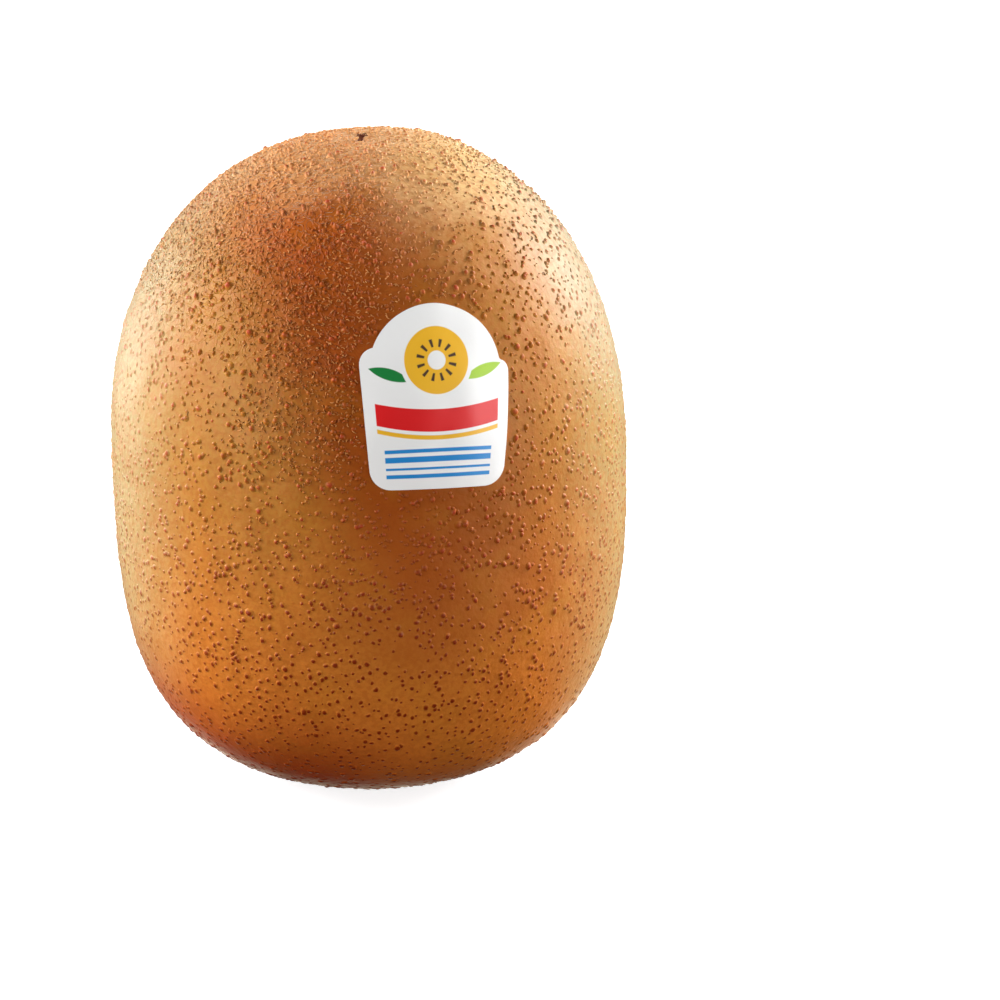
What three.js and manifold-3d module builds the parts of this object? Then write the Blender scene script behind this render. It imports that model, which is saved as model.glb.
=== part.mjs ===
// A golden kiwi fruit standing on its stem end, blossom end up, with a paper sticker on its front.
// Millimetres, +Z up, front towards -Y. The origin is under the fruit's middle, on the surface it stands on.

import * as THREE from 'three';
import { ConvexHull } from 'three/addons/math/ConvexHull.js';
import { mergeVertices } from 'three/addons/utils/BufferGeometryUtils.js';
import Module from 'manifold-3d';

// The fruit's body
const WIDTH = 60;               // across X at the widest level
const DEPTH = 57.5;             // across Y at the widest level
const HALF_HEIGHT = 38.1;       // from the widest level to each rounded end
const CROWN_SQUARENESS = 2.22;  // exponent of the blossom half's outline, where 2 is an ellipse
const BASE_SQUARENESS = 2.95;   // exponent of the stem half's outline, which is blunter
const SQUARENESS_BLEND = 0.35;  // how gradually one outline turns into the other
const SIDE_SKEW = 0.84;         // one side is fullest above the middle and the other below it
const SHOULDER_HEIGHT = 0.35;   // a low hump beside the blossom end
const SHOULDER_SPREAD = 0.22;   // its half-width, as an angle in radians
const SHOULDER_AIM = new THREE.Vector3(0.12, 0.2, 0.97).normalize();

// The pit at the blossom end
const PIT_DEPTH = 0.5;
const PIT_RADIUS = 2.6;
const PIT_RINGS = [1.1, 2.1, 3.2, 4.4];  // distances from the axis at which its skin has points

// The stem end: a flat ring to stand on round a shallow bowl
const FOOT_SINK = 0.25;         // how far standing has pressed the rounded end flat
const FOOT_RADIUS = 8.2;
const BOWL_RADIUS = 6;
const BOWL_DEPTH = 2.4;
const BOWL_RINGS = [1.6, 3, 4.2, 5.2];   // distances from the axis at which the bowl has points
const FOOT_RINGS = [BOWL_RADIUS, 7.1, FOOT_RADIUS];
const RING_STEP = 1.4;          // between neighbouring points of one ring
const RING_LEAST_POINTS = 8;

// The raised specks all over the skin
const SPECK_TRIES = 16000;
const SPECK_SIDES = 5;
const SPECK_RADIUS = [0.55, 0.95];
const SPECK_HEIGHT = [0.26, 0.4];
const CROWN_SPACING = 2.95;     // least distance between specks at the blossom end
const BASE_SPACING = 3.35;      // and at the stem end, where they are fewer
const CROWN_MARGIN = 5.2;       // no speck nearer the blossom end's axis
const FOOT_MARGIN = 11.2;       // and none nearer the stem end's, so that none is stood on

// Plain points that keep the skin round between the specks
const FILLER_COUNT = 1250;
const FILLER_CLEARANCE = 2;     // from a speck's middle
const FILLER_CROWN_MARGIN = 5.6;
const FILLER_FOOT_MARGIN = 9.6;

// The sticker
const LABEL_WIDTH = 17.4;       // its sizes are those of its shadow on a plane that touches its middle,
const LABEL_HEIGHT = 20.8;      // cast from the fruit's centre
const LABEL_DOME_HALF = 7.6;    // half the width of the domed top, were it a whole half-ellipse
const LABEL_DOME_RISE = 7;
const LABEL_LEFT_SHOULDER = 6.2;    // where the dome meets each shoulder, above the middle
const LABEL_RIGHT_SHOULDER = 4.4;
const LABEL_CORNER = 2.6;       // radius of the lower corners
const LABEL_THICKNESS = 0.3;
const LABEL_GAP = 0.15;         // between the skin and the sticker's back
const LABEL_AZIMUTH = THREE.MathUtils.degToRad(16.3);   // from the front towards +X
const LABEL_ELEVATION = THREE.MathUtils.degToRad(27.5); // above the widest level
const LABEL_TURN = THREE.MathUtils.degToRad(-2);        // clockwise as seen from outside
const LABEL_OUTLINE_POINTS = 64;
const LABEL_RINGS = 5;
const LABEL_SKIN_MARGIN = 1.2;  // no speck nearer the sticker's edge box

// The woody scar and withered sepals in the bowl of the stem end
const SEAT_GAP = 0.25;          // between the skin and the scar
const SCAR_RADIUS = 2.3;
const SCAR_THICKNESS = 0.8;
const SCAR_HOLLOW_RADIUS = 1.1;
const SCAR_HOLLOW_DEPTH = 0.45;
const SEPAL_COUNT = 5;
const SEPAL_ROOT = 1.5;         // distance of a sepal's root and tip from the axis
const SEPAL_TIP = 4.2;
const SEPAL_HALF_WIDTH = 1.15;
const SEPAL_THICKNESS = 0.4;
const SEPAL_GAP = 0.33;         // between the skin and a sepal, whose root is sunk in the scar
const SEPAL_TWIST = 0.28;       // how far a withered tip strays sideways, in radians

// The withered flower remnant in the pit of the blossom end
const REMNANT_GAP = 0.15;
const REMNANT_RADIUS = 0.75;
const REMNANT_THICKNESS = 0.45;
const STYLE_COUNT = 12;
const STYLE_RADIUS = 0.14;
const STYLE_REACH = [0.8, 1.3];
const STYLE_RISE = [0.45, 0.95];

const CENTRE = new THREE.Vector3(0, 0, HALF_HEIGHT - FOOT_SINK);
const AXIS = new THREE.Vector3(0, 0, 1);
const GOLDEN_ANGLE = Math.PI * (3 - Math.sqrt(5));

const wasm = await Module();
wasm.setup();

// A repeatable stream of numbers from 0 to 1
function randomStream(seed) {
  let state = seed;
  return () => {
    state = (state + 0x6d2b79f5) | 0;
    let mixed = Math.imul(state ^ (state >>> 15), state | 1);
    mixed ^= mixed + Math.imul(mixed ^ (mixed >>> 7), mixed | 61);
    return ((mixed ^ (mixed >>> 14)) >>> 0) / 4294967296;
  };
}

function between([low, high], random) {
  return THREE.MathUtils.lerp(low, high, random());
}

// A smooth rise of height 1 that has nearly died out two half-widths away
function bump(halfWidthsAway) {
  return Math.exp(-(halfWidthsAway ** 2));
}

// Distance from the fruit's centre to its skin along a unit direction
function skinRadius(direction) {
  const blend = 0.5 + 0.5 * Math.tanh(direction.z / SQUARENESS_BLEND);
  const power = THREE.MathUtils.lerp(BASE_SQUARENESS, CROWN_SQUARENESS, blend);
  const across = Math.hypot(direction.x / (WIDTH / 2), direction.y / (DEPTH / 2));
  const along = Math.abs(direction.z) / HALF_HEIGHT;
  const body = (across ** power + along ** power) ** (-1 / power);
  const skew = -SIDE_SKEW * direction.x ** 3 * direction.z;
  const shoulder = SHOULDER_HEIGHT * bump(direction.angleTo(SHOULDER_AIM) / SHOULDER_SPREAD);
  const pit = PIT_DEPTH * bump((direction.angleTo(AXIS) * HALF_HEIGHT) / PIT_RADIUS);
  return body + skew + shoulder - pit;
}

// The skin's point along a direction, raised outward by a height; the stem end is pressed flat at z = 0
function skinPoint(direction, height = 0) {
  const point = direction.clone().multiplyScalar(skinRadius(direction) + height).add(CENTRE);
  point.z = Math.max(point.z, 0);
  return point;
}

// Height of the bowl's surface at a distance from the axis, down to 0 at its edge and beyond
function bowlHeight(distance) {
  return BOWL_DEPTH * Math.max(0, 1 - (distance / BOWL_RADIUS) ** 2) ** 1.5;
}

// The unit direction at a height z, turned about the axis
function levelled(z, turn) {
  const level = Math.sqrt(1 - z * z);
  return new THREE.Vector3(level * Math.cos(turn), level * Math.sin(turn), z);
}

// A direction moved sideways by a length on the skin, towards a side given as a turn
function moved(direction, distance, turn) {
  const helper = Math.abs(direction.z) < 0.9 ? AXIS : new THREE.Vector3(1, 0, 0);
  const side = new THREE.Vector3().crossVectors(direction, helper).normalize();
  side.applyAxisAngle(direction, turn);
  return direction.clone().addScaledVector(side, distance / skinRadius(direction)).normalize();
}

// The sticker's own directions: out of the skin, to its right and to its top
function labelFrame() {
  const out = levelled(Math.sin(LABEL_ELEVATION), LABEL_AZIMUTH - Math.PI / 2);
  const right = new THREE.Vector3(Math.cos(LABEL_AZIMUTH), Math.sin(LABEL_AZIMUTH), 0);
  right.applyAxisAngle(out, LABEL_TURN);
  return { out, right, top: new THREE.Vector3().crossVectors(out, right), reach: skinRadius(out) };
}

// The direction from the fruit's centre to a point of the sticker laid flat
function labelDirection(frame, x, y) {
  const direction = frame.out.clone().multiplyScalar(frame.reach);
  return direction.addScaledVector(frame.right, x).addScaledVector(frame.top, y).normalize();
}

function underLabel(frame, direction) {
  const scale = frame.reach / direction.dot(frame.out);
  const x = Math.abs(direction.dot(frame.right) * scale);
  const y = Math.abs(direction.dot(frame.top) * scale);
  const inside = x < LABEL_WIDTH / 2 + LABEL_SKIN_MARGIN && y < LABEL_HEIGHT / 2 + LABEL_SKIN_MARGIN;
  return inside && direction.dot(frame.out) > 0;
}

// Whether a direction's skin point is closer to the axis than the margin of its end
function nearEnds(direction, crownMargin, footMargin) {
  const fromAxis = Math.hypot(direction.x, direction.y) * skinRadius(direction);
  return fromAxis < (direction.z > 0 ? crownMargin : footMargin);
}

// Specks scattered at least their spacing apart, off the two ends and off the sticker
function scatterSpecks() {
  const random = randomStream(2049);
  const frame = labelFrame();
  const specks = [];
  for (let tries = 0; tries < SPECK_TRIES; tries += 1) {
    const direction = levelled(2 * random() - 1, 2 * Math.PI * random());
    const middle = skinPoint(direction);
    const spacing = THREE.MathUtils.lerp(BASE_SPACING, CROWN_SPACING, 0.5 + 0.5 * direction.z);
    const free = !nearEnds(direction, CROWN_MARGIN, FOOT_MARGIN) && !underLabel(frame, direction);
    if (free && specks.every((speck) => speck.middle.distanceTo(middle) > spacing)) {
      specks.push({ direction, middle });
    }
  }
  return specks.map((speck) => ({
    ...speck,
    radius: between(SPECK_RADIUS, random),
    height: between(SPECK_HEIGHT, random),
    turn: 2 * Math.PI * random(),
  }));
}

// A speck is a low pyramid: its top and a ring of corners on the skin
function speckPoints({ direction, radius, height, turn }) {
  const corners = Array.from({ length: SPECK_SIDES }, (_, side) => (
    skinPoint(moved(direction, radius, turn + (2 * Math.PI * side) / SPECK_SIDES))
  ));
  return [skinPoint(direction, height), ...corners];
}

// Evenly spread points wherever specks and the two ends leave room
function fillerPoints(specks) {
  const points = [];
  for (let i = 0; i < FILLER_COUNT; i += 1) {
    const direction = levelled(1 - (2 * i + 1) / FILLER_COUNT, i * GOLDEN_ANGLE);
    const point = skinPoint(direction);
    const clear = specks.every((speck) => speck.middle.distanceTo(point) > FILLER_CLEARANCE);
    if (clear && !nearEnds(direction, FILLER_CROWN_MARGIN, FILLER_FOOT_MARGIN)) {
      points.push(point);
    }
  }
  return points;
}

// Points round the axis at one distance, every other ring turned by half a step
function ringPoints(distance, index, heightAt) {
  const count = Math.max(RING_LEAST_POINTS, Math.round((2 * Math.PI * distance) / RING_STEP));
  return Array.from({ length: count }, (_, i) => {
    const turn = (2 * Math.PI * (i + 0.5 * (index % 2))) / count;
    const x = distance * Math.cos(turn);
    const y = distance * Math.sin(turn);
    return new THREE.Vector3(x, y, heightAt(x, y));
  });
}

function crownPoints() {
  const onSkin = (x, y) => skinPoint(new THREE.Vector3(x, y, HALF_HEIGHT).normalize()).z;
  const rings = PIT_RINGS.flatMap((distance, index) => ringPoints(distance, index, onSkin));
  return [skinPoint(AXIS), ...rings];
}

function stemEndPoints() {
  const inBowl = (x, y) => bowlHeight(Math.hypot(x, y));
  const bowl = BOWL_RINGS.flatMap((distance, index) => ringPoints(distance, index, inBowl));
  const foot = FOOT_RINGS.flatMap((distance, index) => ringPoints(distance, index, () => 0));
  return [new THREE.Vector3(0, 0, BOWL_DEPTH), ...bowl, ...foot];
}

// A closed skin through points that each show alone from the centre: their directions' hull joins neighbours
function skinThrough(points) {
  const directions = points.map((point) => point.clone().sub(CENTRE).normalize());
  const order = new Map(directions.map((direction, index) => [direction, index]));
  const indices = [];
  for (const face of new ConvexHull().setFromPoints(directions).faces) {
    let edge = face.edge;
    do {
      indices.push(order.get(edge.head().point));
      edge = edge.next;
    } while (edge !== face.edge);
  }
  return indexedGeometry(points.flatMap((point) => point.toArray()), indices);
}

function indexedGeometry(coordinates, indices) {
  const geometry = new THREE.BufferGeometry();
  geometry.setAttribute('position', new THREE.Float32BufferAttribute(coordinates, 3));
  geometry.setIndex(indices);
  geometry.computeVertexNormals();
  return geometry;
}

function toSolid(geometry) {
  const plain = geometry.clone();
  plain.deleteAttribute('normal');
  plain.deleteAttribute('uv');
  const merged = mergeVertices(plain, 1e-4);
  return new wasm.Manifold(new wasm.Mesh({
    numProp: 3,
    vertProperties: new Float32Array(merged.attributes.position.array),
    triVerts: new Uint32Array(merged.index.array),
  }));
}

function joined(geometries) {
  const solid = geometries.map(toSolid).reduce((whole, next) => whole.add(next));
  const mesh = solid.getMesh();
  return indexedGeometry(Array.from(mesh.vertProperties), Array.from(mesh.triVerts));
}

// Two triangles for four corners in turn
function quad(indices, a, b, c, d) {
  indices.push(a, b, c, a, c, d);
}

// A closed plate between two grids of points, placed by point(row, column, side) with side 0 or 1
function plate(rows, columns, point) {
  const coordinates = [];
  for (const side of [0, 1]) {
    for (let row = 0; row <= rows; row += 1) {
      for (let column = 0; column <= columns; column += 1) {
        coordinates.push(...point(row / rows, column / columns, side).toArray());
      }
    }
  }
  const at = (row, column, side) => (side * (rows + 1) + row) * (columns + 1) + column;
  const indices = [];
  for (let row = 0; row < rows; row += 1) {
    for (let column = 0; column < columns; column += 1) {
      const corners = [[row, column], [row + 1, column], [row + 1, column + 1], [row, column + 1]];
      quad(indices, ...corners.map((corner) => at(...corner, 1)));
      quad(indices, ...corners.reverse().map((corner) => at(...corner, 0)));
    }
  }
  for (let row = 0; row < rows; row += 1) {
    const next = row + 1;
    quad(indices, at(row, 0, 0), at(next, 0, 0), at(next, 0, 1), at(row, 0, 1));
    quad(indices, at(next, columns, 0), at(row, columns, 0), at(row, columns, 1), at(next, columns, 1));
  }
  for (let column = 0; column < columns; column += 1) {
    const next = column + 1;
    quad(indices, at(0, next, 0), at(0, column, 0), at(0, column, 1), at(0, next, 1));
    quad(indices, at(rows, column, 0), at(rows, next, 0), at(rows, next, 1), at(rows, column, 1));
  }
  return indexedGeometry(coordinates, indices);
}

// A solid of revolution about Z from [distance, height] pairs
function turned(profile, sides) {
  const points = profile.map(([distance, height]) => new THREE.Vector2(distance, height));
  return new THREE.LatheGeometry(points, sides).rotateX(Math.PI / 2);
}

// Where the edge of the sticker's dome is at a level: the angle from its spring, and the distance sideways
function domeEdge(level, spring) {
  const angle = Math.asin((level - spring) / LABEL_DOME_RISE);
  return { angle, x: LABEL_DOME_HALF * Math.cos(angle) };
}

// The sticker's outline: a domed top, two rounded shoulders, straight sides and rounded lower corners
function labelOutline() {
  const half = LABEL_WIDTH / 2;
  const low = -LABEL_HEIGHT / 2;
  const spring = LABEL_HEIGHT / 2 - LABEL_DOME_RISE;
  const right = domeEdge(LABEL_RIGHT_SHOULDER, spring);
  const left = domeEdge(LABEL_LEFT_SHOULDER, spring);
  const rightRound = half - right.x;
  const leftRound = half - left.x;
  const quarter = Math.PI / 2;
  const shape = new THREE.Shape();
  shape.moveTo(half, LABEL_RIGHT_SHOULDER - rightRound);
  shape.absarc(right.x, LABEL_RIGHT_SHOULDER - rightRound, rightRound, 0, quarter, false);
  shape.absellipse(0, spring, LABEL_DOME_HALF, LABEL_DOME_RISE, right.angle, Math.PI - left.angle, false, 0);
  shape.absarc(-left.x, LABEL_LEFT_SHOULDER - leftRound, leftRound, quarter, 2 * quarter, false);
  shape.lineTo(-half, low + LABEL_CORNER);
  shape.absarc(-half + LABEL_CORNER, low + LABEL_CORNER, LABEL_CORNER, 2 * quarter, 3 * quarter, false);
  shape.lineTo(half - LABEL_CORNER, low);
  shape.absarc(half - LABEL_CORNER, low + LABEL_CORNER, LABEL_CORNER, -quarter, 0, false);
  shape.closePath();
  return shape.getSpacedPoints(LABEL_OUTLINE_POINTS).slice(0, -1);
}

function fruit() {
  const specks = scatterSpecks();
  return skinThrough([
    ...stemEndPoints(),
    ...crownPoints(),
    ...specks.flatMap(speckPoints),
    ...fillerPoints(specks),
  ]);
}

// The sticker lies on the skin: rings of its outline shrunk towards its middle, on a back and a front face
function label() {
  const frame = labelFrame();
  const outline = labelOutline();
  const coordinates = [];
  for (const height of [LABEL_GAP, LABEL_GAP + LABEL_THICKNESS]) {
    coordinates.push(...skinPoint(frame.out, height).toArray());
    for (let ring = 1; ring <= LABEL_RINGS; ring += 1) {
      for (const { x, y } of outline) {
        const direction = labelDirection(frame, (x * ring) / LABEL_RINGS, (y * ring) / LABEL_RINGS);
        coordinates.push(...skinPoint(direction, height).toArray());
      }
    }
  }
  const count = outline.length;
  const middle = (side) => side * (1 + LABEL_RINGS * count);
  const at = (side, ring, k) => middle(side) + 1 + (ring - 1) * count + (k % count);
  const indices = [];
  for (let k = 0; k < count; k += 1) {
    indices.push(middle(1), at(1, 1, k), at(1, 1, k + 1));
    indices.push(middle(0), at(0, 1, k + 1), at(0, 1, k));
    for (let ring = 1; ring < LABEL_RINGS; ring += 1) {
      quad(indices, at(1, ring, k), at(1, ring + 1, k), at(1, ring + 1, k + 1), at(1, ring, k + 1));
      quad(indices, at(0, ring, k), at(0, ring, k + 1), at(0, ring + 1, k + 1), at(0, ring + 1, k));
    }
    const edge = LABEL_RINGS;
    quad(indices, at(0, edge, k), at(0, edge, k + 1), at(1, edge, k + 1), at(1, edge, k));
  }
  return indexedGeometry(coordinates, indices);
}

// One withered sepal, lying along the bowl and straying sideways towards its tip
function sepal(turn, stray) {
  return plate(5, 4, (along, across, side) => {
    const distance = THREE.MathUtils.lerp(SEPAL_ROOT, SEPAL_TIP, along);
    const width = SEPAL_HALF_WIDTH * Math.sqrt(1 - along * 0.94) * (0.7 + 0.6 * along);
    const angle = turn + stray * along ** 2;
    const offset = (2 * across - 1) * width;
    const x = distance * Math.cos(angle) - offset * Math.sin(angle);
    const y = distance * Math.sin(angle) + offset * Math.cos(angle);
    const roof = bowlHeight(Math.hypot(x, y)) - SEPAL_GAP;
    return new THREE.Vector3(x, y, roof - (1 - side) * SEPAL_THICKNESS);
  });
}

// The dry calyx: a woody ring where the stalk broke off, and the sepals round it
function calyx() {
  const random = randomStream(5);
  const roof = (distance) => [distance, bowlHeight(distance) - SEAT_GAP];
  const floor = roof(SCAR_RADIUS)[1] - SCAR_THICKNESS;
  const scar = turned([
    [0, floor + SCAR_HOLLOW_DEPTH],
    [SCAR_HOLLOW_RADIUS, floor + SCAR_HOLLOW_DEPTH],
    [SCAR_HOLLOW_RADIUS + 0.2, floor],
    [SCAR_RADIUS - 0.2, floor],
    [SCAR_RADIUS, floor + 0.2],
    roof(SCAR_RADIUS),
    roof(SCAR_RADIUS / 2),
    roof(0),
  ], 20);
  const sepals = Array.from({ length: SEPAL_COUNT }, (_, i) => (
    sepal((2 * Math.PI * i) / SEPAL_COUNT, SEPAL_TWIST * (2 * random() - 1))
  ));
  return joined([scar, ...sepals]);
}

// One withered style, curling up and out of the remnant's middle
function style(turn, reach, rise) {
  const outward = new THREE.Vector3(Math.cos(turn), Math.sin(turn), 0);
  const sideways = new THREE.Vector3(-Math.sin(turn), Math.cos(turn), 0);
  const path = new THREE.CatmullRomCurve3([
    outward.clone().multiplyScalar(0.2).setZ(REMNANT_THICKNESS * 0.5),
    outward.clone().multiplyScalar(0.55 * reach).setZ(rise),
    outward.clone().multiplyScalar(reach).addScaledVector(sideways, 0.25 * reach).setZ(0.75 * rise),
  ]);
  const r = STYLE_RADIUS;
  const corners = [[r, 0], [0, r], [-r, 0], [0, -r]];
  const section = new THREE.Shape(corners.map(([x, y]) => new THREE.Vector2(x, y)));
  return new THREE.ExtrudeGeometry(section, { steps: 4, extrudePath: path });
}

// The dark tuft left of the flower: a small dry disc and the styles that stand on it
function driedStyles() {
  const random = randomStream(11);
  const disc = turned([
    [0, 0],
    [REMNANT_RADIUS, 0],
    [REMNANT_RADIUS, REMNANT_THICKNESS * 0.6],
    [REMNANT_RADIUS * 0.6, REMNANT_THICKNESS],
    [0, REMNANT_THICKNESS],
  ], 12);
  const styles = Array.from({ length: STYLE_COUNT }, (_, i) => (
    style(i * GOLDEN_ANGLE, between(STYLE_REACH, random), between(STYLE_RISE, random))
  ));
  return joined([disc, ...styles]);
}

function piece(name, geometry, color, roughness) {
  const material = new THREE.MeshStandardMaterial({ color, roughness, metalness: 0 });
  const mesh = new THREE.Mesh(geometry, material);
  mesh.name = name;
  return mesh;
}

const kiwi = new THREE.Group();
kiwi.add(piece('fruit', fruit(), 0xb97a3c, 0.6));
kiwi.add(piece('calyx', calyx(), 0x6a4a2c, 0.85));
kiwi.add(piece('label', label(), 0xf4f2ec, 0.45));

const tuft = piece('dried_styles', driedStyles(), 0x3b2115, 0.9);
tuft.position.copy(skinPoint(AXIS, REMNANT_GAP));
kiwi.add(tuft);

export default kiwi;
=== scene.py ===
"""A golden kiwi fruit standing on its stem end: its skin, specks, fuzz, dry ends and paper sticker.

Everything is in metres, +Z up, with the front towards -Y and the origin under the fruit's middle.
"""

import math
from functools import reduce

import bpy
import numpy as np
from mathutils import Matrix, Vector


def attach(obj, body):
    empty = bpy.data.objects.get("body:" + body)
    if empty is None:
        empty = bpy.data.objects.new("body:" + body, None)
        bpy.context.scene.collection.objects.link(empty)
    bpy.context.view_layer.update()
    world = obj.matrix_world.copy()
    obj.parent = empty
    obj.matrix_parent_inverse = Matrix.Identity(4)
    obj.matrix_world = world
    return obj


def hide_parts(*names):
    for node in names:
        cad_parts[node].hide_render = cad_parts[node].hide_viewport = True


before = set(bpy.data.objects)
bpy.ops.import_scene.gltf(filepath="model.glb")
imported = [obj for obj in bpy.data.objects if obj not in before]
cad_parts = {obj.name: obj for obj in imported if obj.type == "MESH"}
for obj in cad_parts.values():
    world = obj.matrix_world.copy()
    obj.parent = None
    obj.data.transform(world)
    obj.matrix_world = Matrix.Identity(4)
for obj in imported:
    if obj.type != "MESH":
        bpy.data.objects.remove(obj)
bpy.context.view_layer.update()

bl_info = {
    "name": "Golden Kiwi Fruit",
    "version": (1, 0, 0),
    "blender": (4, 5, 0),
    "location": "View3D > Sidebar > Kiwi",
    "description": "Grows the skin, specks, fuzz, dry ends and sticker of a golden kiwi fruit",
    "category": "Object",
}

MM = 0.001
BODY = "root"
UV_NAME = "OFBake"
SQUARENESS_BLEND = 0.35            # how gradually one half's squareness gives way to the other's
SHOULDER_AIM = (0.2, 0.2, 0.96)    # from the fruit's middle to its hump's
SPECK_RINGS = ((0.3, 0.93), (0.6, 0.6), (1.0, -0.05))    # reach and height, as shares of a speck's own
SPECK_SIDES = 8
SPECK_LEVELS = (-0.7, -0.1, 0.5, 0.88)    # heights of directions: foot, both ends of the sides, crown
GOLDEN_ANGLE = math.pi * (3 - math.sqrt(5))
SOFTBOX_DISTANCE = 0.7


# ---------------------------------------------------------------- settings

def length(name, description, millimetres, lowest=0.0):
    """A size in metres whose default is given in millimetres."""
    return bpy.props.FloatProperty(
        name=name, description=description, default=millimetres * MM, min=lowest, unit="LENGTH", precision=5
    )


def amount(name, description, default, low=0.0, high=1.0):
    """A plain number between two ends."""
    return bpy.props.FloatProperty(name=name, description=description, default=default, min=low, max=high)


def number(name, description, default):
    """A count."""
    return bpy.props.IntProperty(name=name, description=description, default=default, min=1)


def turn(name, description, degrees):
    """An angle whose default is given in degrees."""
    return bpy.props.FloatProperty(
        name=name, description=description, default=math.radians(degrees), subtype="ANGLE", unit="ROTATION"
    )


def colour(name, description, red, green, blue):
    """A colour, in linear light."""
    return bpy.props.FloatVectorProperty(
        name=name, description=description, default=(red, green, blue), size=3, min=0, max=1, subtype="COLOR"
    )


class KIWI_PG_form(bpy.types.PropertyGroup):
    """The shape of the whole fruit"""

    width: length("Width", "Across X at the widest level", 60)
    depth: length("Depth", "Across Y at the widest level", 57.5)
    half_height: length("Half height", "From the widest level to each rounded end", 38.1)
    crown_squareness: amount("Crown squareness", "Exponent of the blossom half's outline", 2.22, 1, 6)
    base_squareness: amount("Base squareness", "Exponent of the stem half's outline", 2.95, 1, 6)
    side_skew: length("Side skew", "How much higher one side is fullest than the other", 0.84)
    shoulder: length("Shoulder", "Height of the low hump beside the blossom end", 0.35)
    shoulder_spread: turn("Shoulder spread", "Half-width of the hump", 9)
    pit_depth: length("Pit depth", "Depth of the pit at the blossom end", 0.5)
    pit_radius: length("Pit radius", "Half-width of the pit", 2.6)
    foot_sink: length("Foot sink", "How far standing has pressed the stem end flat", 0.25)
    bowl_radius: length("Bowl radius", "Radius of the hollow at the stem end", 6)
    bowl_depth: length("Bowl depth", "Depth of that hollow", 2.4)
    ripple: length("Ripple", "Height of the skin's soft unevenness", 0.035)
    ripple_length: length("Ripple length", "Distance from one soft rise to the next", 5)
    facets: number("Facets", "Quads along each side of the skin's six patches", 110)


class KIWI_PG_skin(bpy.types.PropertyGroup):
    """The colours and finish of the skin"""

    gold: colour("Gold", "Main colour of the skin", 0.416, 0.182, 0.024)
    # Painted sheen: a pale tone on the two narrow sides that stands in for the bright rim the side lights
    # give along the silhouette.
    painted_edge_sheen: colour("Cream", "Paler skin of the two narrow sides", 0.33, 0.28, 0.12)
    tan: colour("Tan", "Dry skin at the blossom end, towards -X", 0.65, 0.31, 0.11)
    straw: colour("Straw", "Paler dry skin at the blossom end, towards +X", 0.65, 0.44, 0.19)
    russet: colour("Russet", "Reddish brown of the mottling", 0.37, 0.082, 0.007)
    # Partly the skin's own deeper tone low down, and partly a painted glow of light passing through the
    # lower skin.
    amber_and_painted_glow: colour("Amber", "Deeper colour of the lower part", 0.6, 0.172, 0.021)
    # Painted shade: the dark red of the lowest part, reaching highest on the -X side, where the side lights
    # don't reach.
    painted_low_shade: colour("Rust", "Dark red of the lowest part", 0.27, 0.007, 0.0008)
    # Painted shade: the next three colours paint the dark red band down the front where the side lights give
    # out. The skin there is a little redder too.
    painted_shade_red: colour("Blush", "Redder skin of the cheek", 0.4, 0.092, 0.01)
    painted_shade_deep: colour("Burn", "Darkest skin of the cheek, higher up", 0.3, 0.054, 0.0013)
    painted_shade_top: colour("Ember", "Brighter skin at the top of the cheek", 0.37, 0.065, 0.0018)
    # Where that painted shade band lies.
    shade_band_low: length("Cheek low", "Where the middle of the cheek lies at the floor, towards +X", 17)
    shade_band_lean: amount("Cheek lean", "How far the cheek moves towards -X for each length up", 0.35)
    shade_band_left: length("Cheek left", "From the middle of the cheek to its end towards -X", 15)
    shade_band_right: length("Cheek right", "From the middle of the cheek to its end towards +X", 28.5)
    # Painted shade: the back is darkened against the strong light of the softboxes behind it.
    shade: colour("Shade", "Duller skin of the back", 0.15, 0.062, 0.008)
    # Painted highlight: the palest tone stands in for the whitish sheen on the upper sides, mostly on the
    # right.
    painted_upper_sheen: colour("Ash", "Palest skin, on the upper sides", 0.36, 0.335, 0.215)
    olive: colour("Olive", "Greenish gold of some patches", 0.46, 0.2, 0.014)
    roughness: amount("Roughness", "Roughness of the skin", 0.46)
    gloss: amount("Gloss", "Strength of the skin's mirror reflection", 0.15)
    velvet: amount("Velvet", "Strength of the pale bloom seen along the skin", 0.55)
    bloom: colour("Bloom", "Colour of that bloom", 1, 0.9, 0.7)
    bloom_spread: amount("Bloom spread", "How far the bloom reaches in from the edges", 0.22)
    glow: amount("Glow", "Share of light that passes under the skin", 0.12)


class KIWI_PG_specks(bpy.types.PropertyGroup):
    """The raised corky specks"""

    places: number("Places", "Places all round that are tried for a speck", 12800)
    crown_share: amount("Crown share", "Share of the places that is used near the blossom end", 0.9)
    side_share: amount("Side share", "Share of the places that is used at the sides", 0.72)
    foot_share: amount("Foot share", "Share of the places that is used near the stem end", 0.78)
    pairs: amount("Pairs", "Share of the specks that have run into another", 0.15)
    crown_radius: length("Crown radius", "Usual radius near the blossom end", 0.28)
    side_radius: length("Side radius", "Usual radius at the sides", 0.31)
    foot_radius: length("Foot radius", "Usual radius near the stem end", 0.345)
    uneven: amount("Uneven", "How far the radii stray, as a share of the usual one", 0.26)
    steep: amount("Steep", "Usual height as a share of the radius", 0.58)
    crown_height: amount("Crown height", "Share of that height near the blossom end", 1.3, 0, 2)
    side_height: amount("Side height", "Share of that height at the sides", 0.95, 0, 2)
    foot_height: amount("Foot height", "Share of that height near the stem end", 0.42, 0, 2)
    flattened: amount("Flattened", "How much lower specks are on the two narrow sides", 0.55)
    brown: colour("Brown", "Colour of the faintest specks", 0.29, 0.08, 0.011)
    red: colour("Red", "Colour of the reddest specks", 0.4, 0.052, 0.018)
    dark: colour("Dark", "Colour of the specks near the stem end", 0.18, 0.016, 0.0015)
    faint: amount("Faint", "How far the faintest specks differ from the skin", 0.34)
    foot_clearance: length("Foot clearance", "No speck nearer the stem end's axis", 9.6)
    crown_clearance: length("Crown clearance", "No speck nearer the blossom end's axis", 2.2)


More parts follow.
